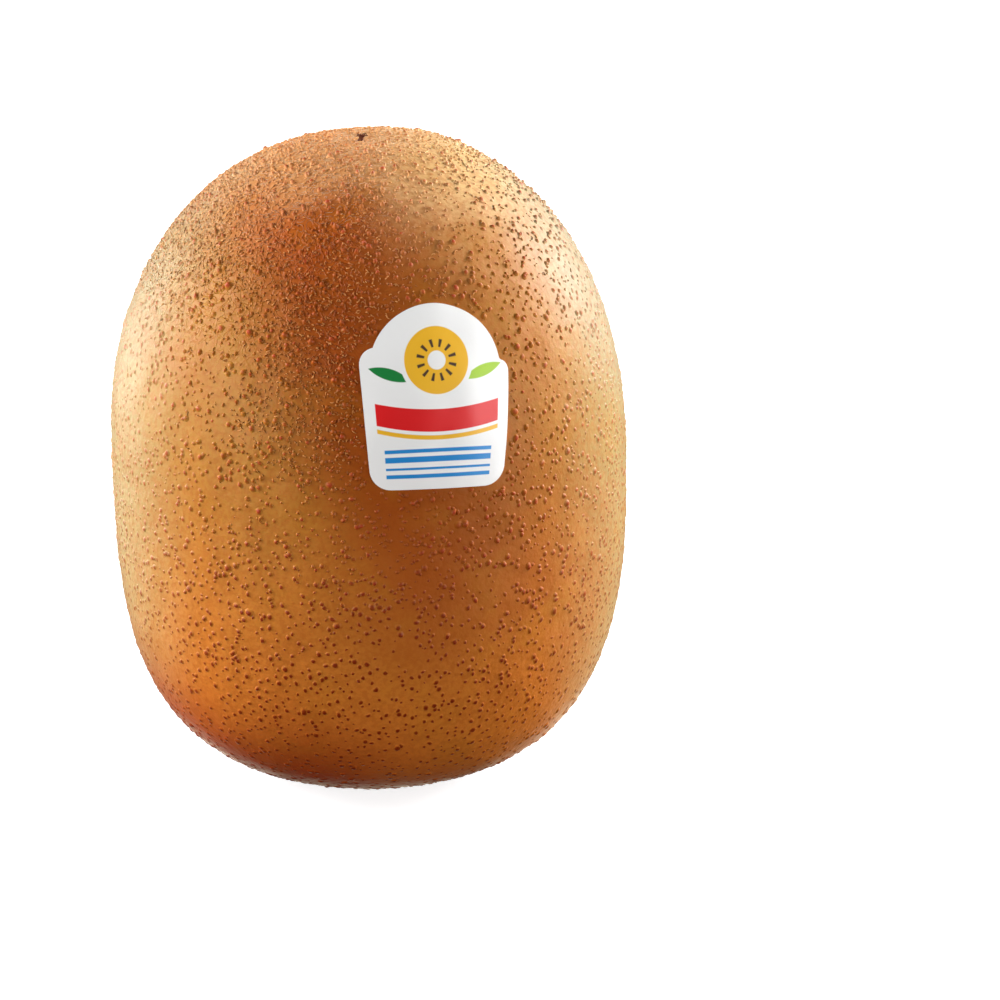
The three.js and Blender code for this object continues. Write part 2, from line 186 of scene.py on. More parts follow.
class KIWI_PG_fuzz(bpy.types.PropertyGroup):
    """The short curled hairs of the upper part"""

    count: number("Hairs", "How many hairs there are", 10500)
    least: length("Shortest", "Length of the shortest hairs", 0.16)
    most: length("Longest", "Length of the longest hairs", 0.55)
    radius: length("Radius", "Radius of the thickest hairs at their roots", 0.13)
    curl: turn("Curl", "How far the most curled hairs turn", 130)
    lift: length("Lift", "How far a hair's middle stands off the skin", 0.14)
    pale: colour("Pale", "Colour of the lighter hairs", 0.86, 0.4, 0.11)
    paleness: amount("Paleness", "How far the palest hairs differ from the skin", 0.62)
    worn: turn("Worn side", "Where most hairs are rubbed off, from the front towards +X", 75)
    tongue: turn("Tongue", "Where the hairs reach furthest down, from the front towards +X", -8)
    tongue_spread: turn("Tongue spread", "Half-width of that patch of hairs", 25)


class KIWI_PG_sticker(bpy.types.PropertyGroup):
    """The paper sticker and its print"""

    width: length("Width", "Width, as cast from the fruit's middle on a plane that touches the skin", 17.4)
    height: length("Height", "Height, in the same way", 20.8)
    dome_half: length("Dome half", "Half the width of the domed top, were it a whole half-ellipse", 7.6)
    dome_rise: length("Dome rise", "Height of that half-ellipse", 7)
    left_shoulder: length("Left shoulder", "Where the dome meets the left shoulder, above the middle", 6.2)
    right_shoulder: length("Right shoulder", "The same on the right", 4.4)
    corner: length("Corner", "Radius of the lower corners", 2.6)
    paper: length("Paper", "Thickness of the paper", 0.14)
    gap: length("Gap", "Between the skin and the paper's back", 0.03)
    azimuth: turn("Azimuth", "From the front towards +X", 16.3)
    elevation: turn("Elevation", "Above the widest level, as seen from the fruit's middle", 27.5)
    lean: turn("Lean", "Anticlockwise as seen from outside", -2)
    white: colour("White", "Paper", 0.9, 0.9, 0.89)
    red: colour("Red", "Red ink", 0.72, 0.008, 0.01)
    gold: colour("Gold", "Golden ink", 0.87, 0.47, 0.02)
    blue: colour("Blue", "Blue ink", 0.012, 0.24, 0.62)
    leaf_dark: colour("Dark leaf", "Dark green ink", 0.006, 0.21, 0.04)
    leaf_light: colour("Light leaf", "Light green ink", 0.37, 0.6, 0.04)
    seed: colour("Seed", "Dark ink of the seeds", 0.06, 0.03, 0.02)


class KIWI_PG_ends(bpy.types.PropertyGroup):
    """The dry remains at the two ends"""

    remnant_radius: length("Remnant radius", "Radius of the dry disc in the pit", 0.36)
    remnant_height: length("Remnant height", "Thickness of that disc", 0.4)
    remnant_gap: length("Remnant gap", "Between the skin and the disc", 0.03)
    remnant_aside: length("Remnant aside", "How far the disc has moved from the axis towards -X", 0.9, -3)
    remnant_ahead: length("Remnant ahead", "How far the disc has moved from the axis towards -Y", 0.9, -3)
    styles: number("Styles", "Withered styles on the disc", 13)
    style_radius: length("Style radius", "Radius of a withered style", 0.075)
    style_reach: length("Style reach", "How far the longest style reaches from the axis", 0.9)
    style_rise: length("Style rise", "How high the highest style stands over the pit", 1.1)
    scar_radius: length("Scar radius", "Radius of the woody scar at the stem end", 2.3)
    scar_thickness: length("Scar thickness", "Thickness of the scar", 0.8)
    sepals: number("Sepals", "Withered sepals round the scar", 5)
    sepal_root: length("Sepal root", "How far from the axis a sepal starts", 1.5)
    sepal_reach: length("Sepal reach", "How far a sepal reaches from the axis", 4.2)
    sepal_half_width: length("Sepal half width", "Half of a sepal's usual width", 1.15)
    sepal_thickness: length("Sepal thickness", "Thickness of a sepal", 0.32)
    seat_gap: length("Seat gap", "Between the skin and what sits in the hollow", 0.2)
    wither: colour("Withered", "Colour of the withered flower", 0.07, 0.016, 0.008)
    wood: colour("Wood", "Colour of the scar", 0.2, 0.105, 0.045)


class KIWI_PG_studio(bpy.types.PropertyGroup):
    """The floor, the lights and the camera"""

    distance: length("Distance", "From the camera to the fruit's middle", 600)
    elevation: turn("Elevation", "Of the camera above the fruit's middle", 17.2)
    lens: bpy.props.FloatProperty(
        name="Lens", description="Focal length in millimetres", default=184.8, min=1, unit="CAMERA"
    )
    shift_right: amount("Shift right", "Sideways shift of the frame, as a share of its width", 0.131, -1, 1)
    shift_up: amount("Shift up", "Upward shift of the frame, as a share of its width", -0.0464, -1, 1)
    floor_size: length("Floor size", "Width of the floor", 6000)
    floor: colour("Floor", "Colour of the floor", 0.5, 0.5, 0.5)
    left_light: amount("Left light", "Watts of the left softbox", 7.2, 0, 100)
    left_front_light: amount("Left front light", "Watts of the softbox in front on the left", 4.6, 0, 100)
    left_back_light: amount("Left back light", "Watts of the softbox behind on the left", 3.4, 0, 100)
    right_light: amount("Right light", "Watts of the right softbox", 11.5, 0, 100)
    right_front_light: amount("Right front light", "Watts of the softbox in front on the right", 4.3, 0, 100)
    room: colour("Room", "What lights the fruit from all round", 0.25, 0.25, 0.25)
    ground: colour("Ground", "What lights the fruit from below", 0.07, 0.025, 0.007)


# ---------------------------------------------------------------- the fruit's form

def ripples(points, wavelength, seed, waves=28):
    """A smooth uneven field at points, of about -1 to 1, whose rises are about a wavelength apart."""
    rng = np.random.default_rng(seed)
    axes = rng.normal(size=(waves, 3))
    axes /= np.linalg.norm(axes, axis=1)[:, None]
    axes *= (2 * math.pi / wavelength) * rng.uniform(0.6, 1.3, waves)[:, None]
    phases = rng.uniform(0, 2 * math.pi, waves)
    return np.sin(points @ axes.T + phases).sum(axis=1) / math.sqrt(waves)


def hump(half_widths_away):
    """A smooth rise of height 1 that has nearly died out two half-widths away."""
    return np.exp(-half_widths_away**2)


def unit(vectors):
    """The vectors, each at length 1."""
    return vectors / np.linalg.norm(vectors, axis=-1, keepdims=True)


def middle_height(form):
    """Height of the fruit's widest level, from which every direction is taken."""
    return form.half_height - form.foot_sink


def skin_radius(directions, form):
    """Distance from the fruit's middle to its smooth skin along unit directions."""
    x, y, z = directions.T
    blend = 0.5 + 0.5 * np.tanh(z / SQUARENESS_BLEND)
    power = form.base_squareness + (form.crown_squareness - form.base_squareness) * blend
    across = np.hypot(x / (form.width / 2), y / (form.depth / 2))
    along = np.abs(z) / form.half_height
    plain = (across**power + along**power) ** (-1 / power)
    skew = -form.side_skew * x**3 * z
    from_shoulder = np.arccos(np.clip(directions @ unit(np.array(SHOULDER_AIM)), -1, 1))
    shoulder = form.shoulder * hump(from_shoulder / form.shoulder_spread)
    pit = form.pit_depth * hump(np.arccos(np.clip(z, -1, 1)) * form.half_height / form.pit_radius)
    return plain + skew + shoulder - pit


def bowl_height(distances, form):
    """Height of the stem end's hollow at distances from the axis, 0 at its edge and beyond."""
    inside = np.maximum(0, 1 - (distances / form.bowl_radius) ** 2)
    return form.bowl_depth * inside**1.5


def on_skin(directions, heights, form):
    """Points of the uneven skin along unit directions, raised outward by heights."""
    points = directions * skin_radius(directions, form)[:, None]
    swell = form.ripple * ripples(points, form.ripple_length, seed=3)
    points = points + directions * (swell + heights)[:, None]
    points[:, 2] += middle_height(form)
    return pressed_on_floor(points, directions, form)


def pressed_on_floor(points, directions, form):
    """The points, with those of the stem end brought to its flat ring and its hollow."""
    downward = np.maximum(-directions[:, 2], 1e-6)
    slope = np.hypot(directions[:, 0], directions[:, 1]) / downward
    middle = middle_height(form)
    height = np.zeros(len(points))
    for _ in range(10):
        height = bowl_height((middle - height) * slope, form)
    sunk = (directions[:, 2] < 0) & (points[:, 2] < height)
    reach = ((middle - height) / downward)[:, None]
    points[sunk, :2] = (directions[:, :2] * reach)[sunk]
    points[sunk, 2] = height[sunk]
    return points


def sideways(directions):
    """Two unit directions along the skin for each direction out of it."""
    steep = np.abs(directions[:, 2:]) > 0.9
    helper = np.where(steep, np.array([1.0, 0, 0]), np.array([0, 0, 1.0]))
    first = unit(np.cross(helper, directions))
    return first, np.cross(directions, first)


def random_headings(directions, rng):
    """A random unit direction along the skin for each direction out of it, and the one to its left."""
    first, second = sideways(directions)
    spin = rng.uniform(0, 2 * math.pi, len(directions))[:, None]
    ahead = first * np.cos(spin) + second * np.sin(spin)
    return ahead, np.cross(directions, ahead)


def spread_directions(count, rng, stray):
    """Directions spread evenly all round, each strayed from its place by a share of their spacing."""
    index = np.arange(count)
    height = 1 - (2 * index + 1) / count
    level = np.sqrt(1 - height**2)
    angle = index * GOLDEN_ANGLE
    even = np.stack([level * np.cos(angle), level * np.sin(angle), height], axis=1)
    spacing = math.sqrt(4 * math.pi / count)
    return unit(even + rng.uniform(-stray, stray, even.shape) * spacing)


# ---------------------------------------------------------------- meshes

def new_piece(name, points, faces, material, replaces=()):
    """A smooth-shaded object from points and faces that rides on the fruit."""
    mesh = bpy.data.meshes.new(name)
    mesh.from_pydata(points.tolist(), [], faces)
    mesh.materials.append(material)
    mesh.shade_smooth()
    piece = bpy.data.objects.new(name, mesh)
    bpy.context.scene.collection.objects.link(piece)
    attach(piece, BODY)
    if replaces:
        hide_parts(*replaces)
    return piece


def lay_uv(piece, corners):
    """Gives the piece its texture layout from one place for each face corner."""
    layer = piece.data.uv_layers.new(name=UV_NAME)
    layer.data.foreach_set("uv", np.asarray(corners, np.float32).ravel())


def lay_uv_by_point(piece, places):
    """Gives the piece its texture layout from one place for each point."""
    index = np.empty(len(piece.data.loops), np.int32)
    piece.data.loops.foreach_get("vertex_index", index)
    lay_uv(piece, places[index])


def mark(piece, name, values):
    """Stores a number at each point of the piece for its material."""
    attribute = piece.data.attributes.new(name, "FLOAT", "POINT")
    attribute.data.foreach_set("value", np.asarray(values, np.float32).ravel())


def grid_cells(count):
    """The lower left corners and the size of square cells that tile the texture, one for each item."""
    side = math.ceil(math.sqrt(count))
    index = np.arange(count)
    return np.stack([index % side, index // side], axis=1) / side, 1 / side


def patch_grid(facets):
    """Directions, faces and texture corners of a ball made of six square patches joined at their edges."""
    steps = np.tan(np.linspace(-1, 1, facets + 1) * math.pi / 4)
    across, up = np.meshgrid(steps, steps, indexing="ij")
    place = (np.stack(np.meshgrid(*[np.linspace(0, 1, facets + 1)] * 2, indexing="ij"), -1) * 0.96 + 0.02)
    index = np.arange((facets + 1) ** 2).reshape(facets + 1, facets + 1)
    corners = np.stack([index[:-1, :-1], index[1:, :-1], index[1:, 1:], index[:-1, 1:]], -1).reshape(-1, 4)
    directions, faces, texture = [], [], []
    for patch, (axis, sign) in enumerate((axis, sign) for axis in range(3) for sign in (1, -1)):
        out = np.zeros(3)
        out[axis] = sign
        right = np.roll(out, 1) * sign
        top = np.cross(out, right)
        ball = unit(out + across[..., None] * right + up[..., None] * top).reshape(-1, 3)
        directions.append(ball)
        faces.append(corners + patch * len(ball))
        chart = np.array([patch % 3 / 3, patch // 3 / 2])
        texture.append((chart + place / [3, 2]).reshape(-1, 2)[corners])
    directions = np.concatenate(directions)
    _, first, same = np.unique(np.round(directions, 7), axis=0, return_index=True, return_inverse=True)
    faces = same.ravel()[np.concatenate(faces)]
    return directions[first], faces, np.concatenate(texture)


def tubes(paths, across, radii, sides):
    """Points and faces of closed tubes along paths, with across as a direction square to each path."""
    along = unit(np.gradient(paths, axis=1))
    third = unit(np.cross(across[:, None, :], along))
    second = np.cross(along, third)
    angles = np.arange(sides) * 2 * math.pi / sides
    ring = np.cos(angles)[:, None] * second[:, :, None, :] + np.sin(angles)[:, None] * third[:, :, None, :]
    points = paths[:, :, None, :] + ring * radii[:, :, None, None]
    index = np.arange(points[..., 0].size).reshape(points.shape[:3])
    turned = np.roll(index, -1, axis=2)
    walls = np.stack([index[:, :-1], turned[:, :-1], turned[:, 1:], index[:, 1:]], -1).reshape(-1, 4)
    ends = [*index[:, 0, ::-1].tolist(), *index[:, -1].tolist()]
    return points.reshape(-1, 3), [*walls.tolist(), *ends], index


def revolved(profile, sides):
    """Points and faces of a solid turned about Z from (distance, height) pairs, on the axis at both ends."""
    ring_pairs = profile[1:-1]
    angles = np.arange(sides) * 2 * math.pi / sides
    circle = np.stack([np.cos(angles), np.sin(angles)], 1)
    rings = [np.column_stack([circle * distance, np.full(sides, height)]) for distance, height in ring_pairs]
    points = np.concatenate([[[0, 0, profile[0][1]]], *rings, [[0, 0, profile[-1][1]]]])
    last = len(points) - 1
    faces = []
    for k in range(sides):
        following = (k + 1) % sides
        faces.append([0, 1 + following, 1 + k])
        for ring in range(len(rings) - 1):
            low, high = 1 + ring * sides, 1 + (ring + 1) * sides
            faces.append([low + k, low + following, high + following, high + k])
        top = 1 + (len(rings) - 1) * sides
        faces.append([top + k, top + following, last])
    return points, faces


def fan_and_bands(rings, sides):
    """A fan round point 0 and bands of quads between rings, which are numbered outward from point 1."""
    side = np.arange(sides)
    following = (side + 1) % sides
    fan = np.stack([np.zeros(sides, int), 1 + side, 1 + following], -1)
    bands = [
        np.stack([1 + ring * sides + side, 1 + (ring + 1) * sides + side,
                  1 + (ring + 1) * sides + following, 1 + ring * sides + following], -1)
        for ring in range(rings - 1)
    ]
    return fan, np.concatenate(bands)


def plate(rows, columns, top, bottom):
    """Points and faces of a closed plate from two grids of points of one size."""
    size = (rows + 1) * (columns + 1)
    index = np.arange(size).reshape(rows + 1, columns + 1)
    face = np.stack([index[:-1, :-1], index[1:, :-1], index[1:, 1:], index[:-1, 1:]], -1).reshape(-1, 4)
    edge = np.concatenate([index[0, :-1], index[:-1, -1], index[-1, :0:-1], index[:0:-1, 0]])
    following = np.roll(edge, -1)
    rim = np.stack([edge, following, following + size, edge + size], 1)
    faces = np.concatenate([face, face[:, ::-1] + size, rim[:, ::-1]])
    return np.concatenate([top.reshape(-1, 3), bottom.reshape(-1, 3)]), faces.tolist()


def together(parts):
    """One set of points and faces from several."""
    points, faces, start = [], [], 0
    for part_points, part_faces in parts:
        points.append(part_points)
        faces += [[corner + start for corner in face] for face in part_faces]
        start += len(part_points)
    return np.concatenate(points), faces


# ---------------------------------------------------------------- materials

class Wiring:
    """Adds nodes to a tree, and feeds their inputs with numbers, colours or other nodes' outputs."""

    def __init__(self, tree):
        self.tree = tree
        tree.nodes.clear()

    def add(self, kind, inputs=None, **settings):
        node = self.tree.nodes.new(kind)
        for name, value in settings.items():
            setattr(node, name, value)
        for key, value in (inputs or {}).items():
            self.feed(node.inputs[key], value)
        return node

    def feed(self, socket, value):
        if isinstance(value, bpy.types.NodeSocket):
            self.tree.links.new(value, socket)
        elif socket.type == "RGBA":
            socket.default_value = (*tuple(value)[:3], 1)
        else:
            socket.default_value = value

    def math(self, operation, *values, clamp=False):
        inputs = dict(enumerate(values))
        return self.add("ShaderNodeMath", inputs, operation=operation, use_clamp=clamp).outputs[0]

    def plus(self, *values, clamp=False):
        """The sum of the values, kept between 0 and 1 where clamp is set."""
        return reduce(lambda first, second: self.math("ADD", first, second, clamp=clamp), values)

    def minus(self, first, second):
        return self.math("SUBTRACT", first, second)

    def times(self, *values):
        return reduce(lambda first, second: self.math("MULTIPLY", first, second), values)

    def unsigned(self, value):
        """The value without its sign."""
        return self.math("ABSOLUTE", value)

    def mix(self, factor, first, second):
        return self.add("ShaderNodeMix", {0: factor, 6: first, 7: second}, data_type="RGBA").outputs[2]

    def step(self, value, low, high, start=0.0, end=1.0):
        """Goes smoothly from start to end as value goes from low to high."""
        inputs = {"Value": value, "From Min": low, "From Max": high, "To Min": start, "To Max": end}
        return self.add("ShaderNodeMapRange", inputs, interpolation_type="SMOOTHSTEP").outputs["Result"]

    def noise(self, place, size, detail=2.0, roughness=0.5, distortion=0.0):
        """Noise whose features are about size metres across."""
        inputs = {
            "Vector": place, "Scale": 1 / size, "Detail": detail,
            "Roughness": roughness, "Distortion": distortion,
        }
        return self.add("ShaderNodeTexNoise", inputs).outputs["Fac"]

    def threads(self, place, size):
        """Thin curly lines, 1 along their middles, about size metres apart."""
        field = self.noise(place, size, detail=1, distortion=1.3)
        return self.step(self.unsigned(self.minus(field, 0.5)), 0.07, 0.0)

    def bump(self, height, distance, strength=1.0):
        inputs = {"Height": height, "Distance": distance, "Strength": strength}
        return self.add("ShaderNodeBump", inputs).outputs["Normal"]

    def attribute(self, name):
        return self.add("ShaderNodeAttribute", attribute_name=name).outputs["Fac"]

    def place(self):
        return self.add("ShaderNodeTexCoord").outputs["Object"]

    def split(self, vector):
        return self.add("ShaderNodeSeparateXYZ", {0: vector}).outputs

    def surface(self, **inputs):
        """The finished surface; underscores in the names stand for spaces."""
        sockets = {name.replace("_", " "): value for name, value in inputs.items()}
        shader = self.add("ShaderNodeBsdfPrincipled", sockets)
        output = self.add("ShaderNodeOutputMaterial")
        self.tree.links.new(shader.outputs[0], output.inputs[0])
        return shader


def new_material(name):
    """An empty material and its wiring."""
    material = bpy.data.materials.new(name)
    material.use_nodes = True
    return material, Wiring(material.node_tree)


def level_of(wiring, height, form):
    """Height as a share of the fruit's, from 0 at the floor to 1 at the blossom end."""
    return wiring.math("DIVIDE", height, 2 * form.half_height)


def painted_shade_cover(wiring, sideward, depth, height, level, skin, form):
    """Where the painted shade lies, over skin a little redder there: a slanting band on the front, where the
    side lights give out, from low down up to the blossom end.
    """
    across = wiring.minus(wiring.plus(sideward, wiring.times(height, skin.shade_band_lean)), skin.shade_band_low)
    band = wiring.times(wiring.step(across, -skin.shade_band_left, 0), wiring.step(across, skin.shade_band_right, 0))
    in_front = wiring.step(depth, 0.0, -0.25 * form.depth)
    not_low, not_high = wiring.step(level, 0.185, 0.42), wiring.step(level, 1.02, 0.885)
    return wiring.times(band, in_front, not_low, not_high)


def skin_tone(wiring, place, skin, form):
    """The skin's colour at a place, laid on in layers from the broad changes to the fine grain."""
    sideward, depth, height = wiring.split(place)
    aside = wiring.unsigned(sideward)
    wander = wiring.minus(wiring.noise(place, 14 * MM, detail=3), 0.5)
    level = wiring.plus(level_of(wiring, height, form), wiring.times(wander, 0.22))
    # Painted sheen on the two narrow sides.
    narrow_sides = wiring.step(aside, 0.3 * form.width, 0.49 * form.width, 0, 0.8)
    # Painted shade low down, reaching higher on the -X side.
    low_left_shade = wiring.step(wiring.plus(level, wiring.times(sideward, 4.6)), 0.205, -0.05)
    dry = wiring.mix(wiring.step(sideward, -6 * MM, 14 * MM), skin.tan, skin.straw)
    # Painted highlight on the upper sides, stronger towards +X.
    high_aside = wiring.step(wiring.plus(aside, wiring.times(height, 0.6)), 54 * MM, 62.5 * MM)
    more_on_the_right = wiring.step(sideward, -14 * MM, 14 * MM, 0.5, 0.9)
    # Painted shade: the front band goes from red low down to its deepest higher up, and is lighter at its
    # top.
    painted_shade_band = wiring.mix(wiring.step(level, 0.38, 0.6), skin.painted_shade_red, skin.painted_shade_deep)
    painted_shade_band = wiring.mix(wiring.step(level, 0.79, 0.93), painted_shade_band, skin.painted_shade_top)
    # Painted shade over the back.
    behind = wiring.times(wiring.step(depth, 4 * MM, 18 * MM, 0, 0.75), wiring.step(level, 0.97, 0.8))
    patches = wiring.noise(place, 7 * MM, detail=2)
    grain = wiring.noise(place, 0.6 * MM, detail=3, roughness=0.6)
    layers = (
        (wiring.step(level, 0.12, 0.68), skin.gold),
        (narrow_sides, skin.painted_edge_sheen),
        (low_left_shade, skin.painted_low_shade),
        (wiring.step(level, 0.82, 0.97), dry),
        (wiring.times(high_aside, more_on_the_right), skin.painted_upper_sheen),
        (painted_shade_cover(wiring, sideward, depth, height, level, skin, form), painted_shade_band),
        (behind, skin.shade),
        (wiring.step(patches, 0.5, 0.72, 0, 0.16), skin.russet),
        (wiring.step(patches, 0.5, 0.3, 0, 0.18), skin.olive),
        (wiring.step(grain, 0.6, 0.38, 0, 0.34), skin.russet),
    )
    # Starts from the lower part's tone, which holds some painted glow.
    tone = skin.amber_and_painted_glow
    for cover, paint in layers:
        tone = wiring.mix(cover, tone, paint)
    return tone


def skin_finish(skin, light_depth):
    """How light passes under the skin or a speck, and how it glances off."""
    return {
        "Subsurface_Weight": skin.glow,
        "Subsurface_Radius": (1.0, 0.45, 0.2),
        "Subsurface_Scale": light_depth,
        "Specular_IOR_Level": skin.gloss,
        "Sheen_Weight": skin.velvet,
        "Sheen_Roughness": skin.bloom_spread,
        "Sheen_Tint": skin.bloom,
    }


def skin_material(skin, form):
    """Leathery golden skin with fine grain, matted with fibres round the blossom end."""
    material, wiring = new_material("kiwi_skin")
    place = wiring.place()
    sideward, _, height = wiring.split(place)
    coarse = wiring.noise(place, 1.6 * MM, detail=2)
    middling = wiring.noise(place, 0.7 * MM, detail=2)
    fine = wiring.noise(place, 0.32 * MM, detail=3, roughness=0.6)
    unworn = wiring.step(sideward, 8 * MM, -6 * MM)
    matted = wiring.times(unworn, wiring.step(level_of(wiring, height, form), 0.66, 0.92, 0, 1.8))
    fibres = wiring.times(wiring.threads(place, 1.1 * MM), matted)
    relief = wiring.plus(coarse, middling, fibres, wiring.times(fine, 0.12))
    wiring.surface(
        Base_Color=skin_tone(wiring, place, skin, form),
        Roughness=wiring.plus(skin.roughness - 0.06, wiring.times(fine, 0.16)),
        Normal=wiring.bump(relief, 0.08 * MM, 0.8),
        **skin_finish(skin, 1.6 * MM),
    )
    return material


def speck_material(skin, specks, form):
    """A corky speck: brown to red, darker near the stem end, and the skin's colour round its rim."""
    material, wiring = new_material("kiwi_specks")
    place = wiring.place()
    sideward, _, height = wiring.split(place)
    level = level_of(wiring, height, form)
    # Painted light: specks grow redder and fainter towards the narrow sides, lifting the shade that the side
    # lights throw on their far flanks.
    aside = wiring.step(wiring.unsigned(sideward), 0.2 * form.width, 0.46 * form.width)
    rise, tint = wiring.attribute("rise"), wiring.attribute("tint")
    redness = wiring.math("MAXIMUM", tint, wiring.times(aside, 0.7))
    cork = wiring.mix(redness, specks.brown, specks.red)
    cork = wiring.mix(wiring.step(level, 0.6, 0.25), cork, specks.dark)
    flecks = wiring.noise(place, 0.2 * MM, detail=2)
    cork = wiring.mix(wiring.step(flecks, 0.45, 0.7, 0, 0.35), cork, skin.russet)
    strength = wiring.plus(specks.faint, wiring.times(tint, 1 - specks.faint))
    strength = wiring.plus(strength, wiring.step(level, 0.65, 0.3, 0, 0.55), clamp=True)
    # Fainter towards the narrow sides: painted light.
    strength = wiring.times(strength, wiring.minus(1.0, wiring.times(aside, 0.25)))
    cover = wiring.times(wiring.step(rise, 0.33, 0.85), strength)
    wiring.surface(
        Base_Color=wiring.mix(cover, skin_tone(wiring, place, skin, form), cork),
        Roughness=wiring.step(rise, 0, 1, skin.roughness, skin.roughness - 0.06),
        Normal=wiring.bump(flecks, 0.03 * MM),
        **skin_finish(skin, 0.8 * MM),
    )
    return material


def fuzz_material(fuzz, skin, form):
    """Dry hairs, each from the skin's own colour to a paler one."""
    material, wiring = new_material("kiwi_fuzz")
    place = wiring.place()
    paleness = wiring.times(wiring.attribute("tint"), fuzz.paleness)
    grain = wiring.noise(place, 0.15 * MM)
    wiring.surface(
        Base_Color=wiring.mix(paleness, skin_tone(wiring, place, skin, form), fuzz.pale),
        Roughness=wiring.plus(0.5, wiring.times(grain, 0.2)),
    )
    return material


def dry_material(name, tone, light, size):
    """Withered woody matter with darker cracks and lighter fibres of about size metres."""
    material, wiring = new_material(name)
    fibres = wiring.noise(wiring.place(), size, detail=4, roughness=0.65, distortion=0.4)
    wiring.surface(
        Base_Color=wiring.mix(wiring.step(fibres, 0.35, 0.75), tone, light),
        Roughness=wiring.plus(0.62, wiring.times(fibres, 0.25)),
        Normal=wiring.bump(fibres, 0.12 * MM),
        Specular_IOR_Level=0.2,
    )
    return material


def disc(wiring, x, y, centre, radius):
    """1 inside a disc of the print, in millimetres."""
    across, up = wiring.minus(x, centre[0]), wiring.minus(y, centre[1])
    squared = wiring.plus(wiring.math("POWER", across, 2.0), wiring.math("POWER", up, 2.0))
    return inside(wiring, wiring.math("SQRT", squared), -1, radius)


def inside(wiring, value, low, high, edge=0.05):
    """1 where the value is between low and high, with soft edges."""
    above = wiring.step(value, low - edge, low + edge)
    below = wiring.step(value, high - edge, high + edge, 1, 0)
    return wiring.times(above, below)


def sticker_material(sticker):
    """White paper printed with a cut fruit, two leaves, a red ribbon and blue lines, in millimetres."""
    material, wiring = new_material("kiwi_sticker")
    x, y = wiring.attribute("print_x"), wiring.attribute("print_y")
    tone = sticker.white
    for ink, side in ((sticker.leaf_dark, -1), (sticker.leaf_light, 1)):
        leaf = wiring.times(
            disc(wiring, x, y, (side * 7.1, -1.3), 5.4),
            disc(wiring, x, y, (side * 3.6, 7.6), 5.4),
        )
        tone = wiring.mix(leaf, tone, ink)
    slice_at = (0, 4.3)
    for radius, ink in ((4.1, sticker.white), (3.6, sticker.gold), (1.0, sticker.white)):
        tone = wiring.mix(disc(wiring, x, y, slice_at, radius), tone, ink)
    seeds_round = 12 / (2 * math.pi)
    angle = wiring.math("ARCTAN2", wiring.minus(y, slice_at[1]), x)
    from_seed = wiring.math("FRACT", wiring.plus(wiring.times(angle, seeds_round), 20.0))
    seeds = wiring.times(
        inside(wiring, from_seed, 0.34, 0.66, 0.06),
        disc(wiring, x, y, slice_at, 2.25),
        wiring.minus(1.0, disc(wiring, x, y, slice_at, 1.4)),
    )
    tone = wiring.mix(seeds, tone, sticker.seed)
    sagging = wiring.minus(y, wiring.times(wiring.math("POWER", wiring.unsigned(x), 2.0), 0.02))
    stripes = (
        (7.3, sagging, -3.4, -0.9, sticker.red), (7.3, sagging, -4.3, -3.8, sticker.gold),
        (6.6, y, -5.75, -5.3, sticker.blue), (6.6, y, -6.9, -6.2, sticker.blue),
        (6.6, y, -7.85, -7.55, sticker.blue), (6.6, y, -8.9, -8.4, sticker.blue),
    )
    for half_width, level, low, high, ink in stripes:
        stripe = wiring.times(inside(wiring, x, -half_width, half_width), inside(wiring, level, low, high))
        tone = wiring.mix(stripe, tone, ink)
    fibres = wiring.noise(wiring.place(), 0.25 * MM, detail=3)
    wiring.surface(
        Base_Color=tone,
        Roughness=wiring.plus(0.34, wiring.times(fibres, 0.1)),
        Normal=wiring.bump(fibres, 0.01 * MM),
        Specular_IOR_Level=0.3,
        Coat_Weight=0.08,
        Coat_Roughness=0.25,
    )
    return material


# ---------------------------------------------------------------- the sticker's place

def arc(centre, wide, tall, start, end, count=80):
    """Points of an elliptical arc between two angles."""
    angles = np.linspace(start, end, count)
    return np.stack([centre[0] + wide * np.cos(angles), centre[1] + tall * np.sin(angles)], 1)


def sticker_outline(sticker, count):
    """Points of the sticker's outline laid flat: a domed top, two rounded shoulders and straight sides."""
    half, low, corner = sticker.width / 2, -sticker.height / 2, sticker.corner
    spring = sticker.height / 2 - sticker.dome_rise
    starts = [math.asin((level - spring) / sticker.dome_rise)
              for level in (sticker.right_shoulder, sticker.left_shoulder)]
    right, left = (sticker.dome_half * math.cos(start) for start in starts)
    quarter = math.pi / 2
    outline = np.concatenate([
        arc((right, sticker.right_shoulder - half + right), half - right, half - right, 0, quarter),
        arc((0, spring), sticker.dome_half, sticker.dome_rise, starts[0], math.pi - starts[1], 300),
        arc((-left, sticker.left_shoulder - half + left), half - left, half - left, quarter, 2 * quarter),
        arc((-half + corner, low + corner), corner, corner, 2 * quarter, 3 * quarter),
        arc((half - corner, low + corner), corner, corner, 3 * quarter, 4 * quarter),
    ])
    closed = np.concatenate([outline, outline[:1]])
    travelled = np.concatenate([[0], np.cumsum(np.linalg.norm(np.diff(closed, axis=0), axis=1))])
    marks = np.linspace(0, travelled[-1], count, endpoint=False)
    return np.stack([np.interp(marks, travelled, closed[:, axis]) for axis in (0, 1)], 1)


def sticker_axes(sticker, form):
    """Directions out of the skin, to the sticker's right and to its top, and its middle's distance."""
    level = math.cos(sticker.elevation)
    out = np.array([
        math.sin(sticker.azimuth) * level, -math.cos(sticker.azimuth) * level, math.sin(sticker.elevation)
    ])
    plain_right = np.array([math.cos(sticker.azimuth), math.sin(sticker.azimuth), 0])
    plain_top = np.cross(out, plain_right)
    right = plain_right * math.cos(sticker.lean) + plain_top * math.sin(sticker.lean)
    return out, right, np.cross(out, right), skin_radius(out[None], form)[0]


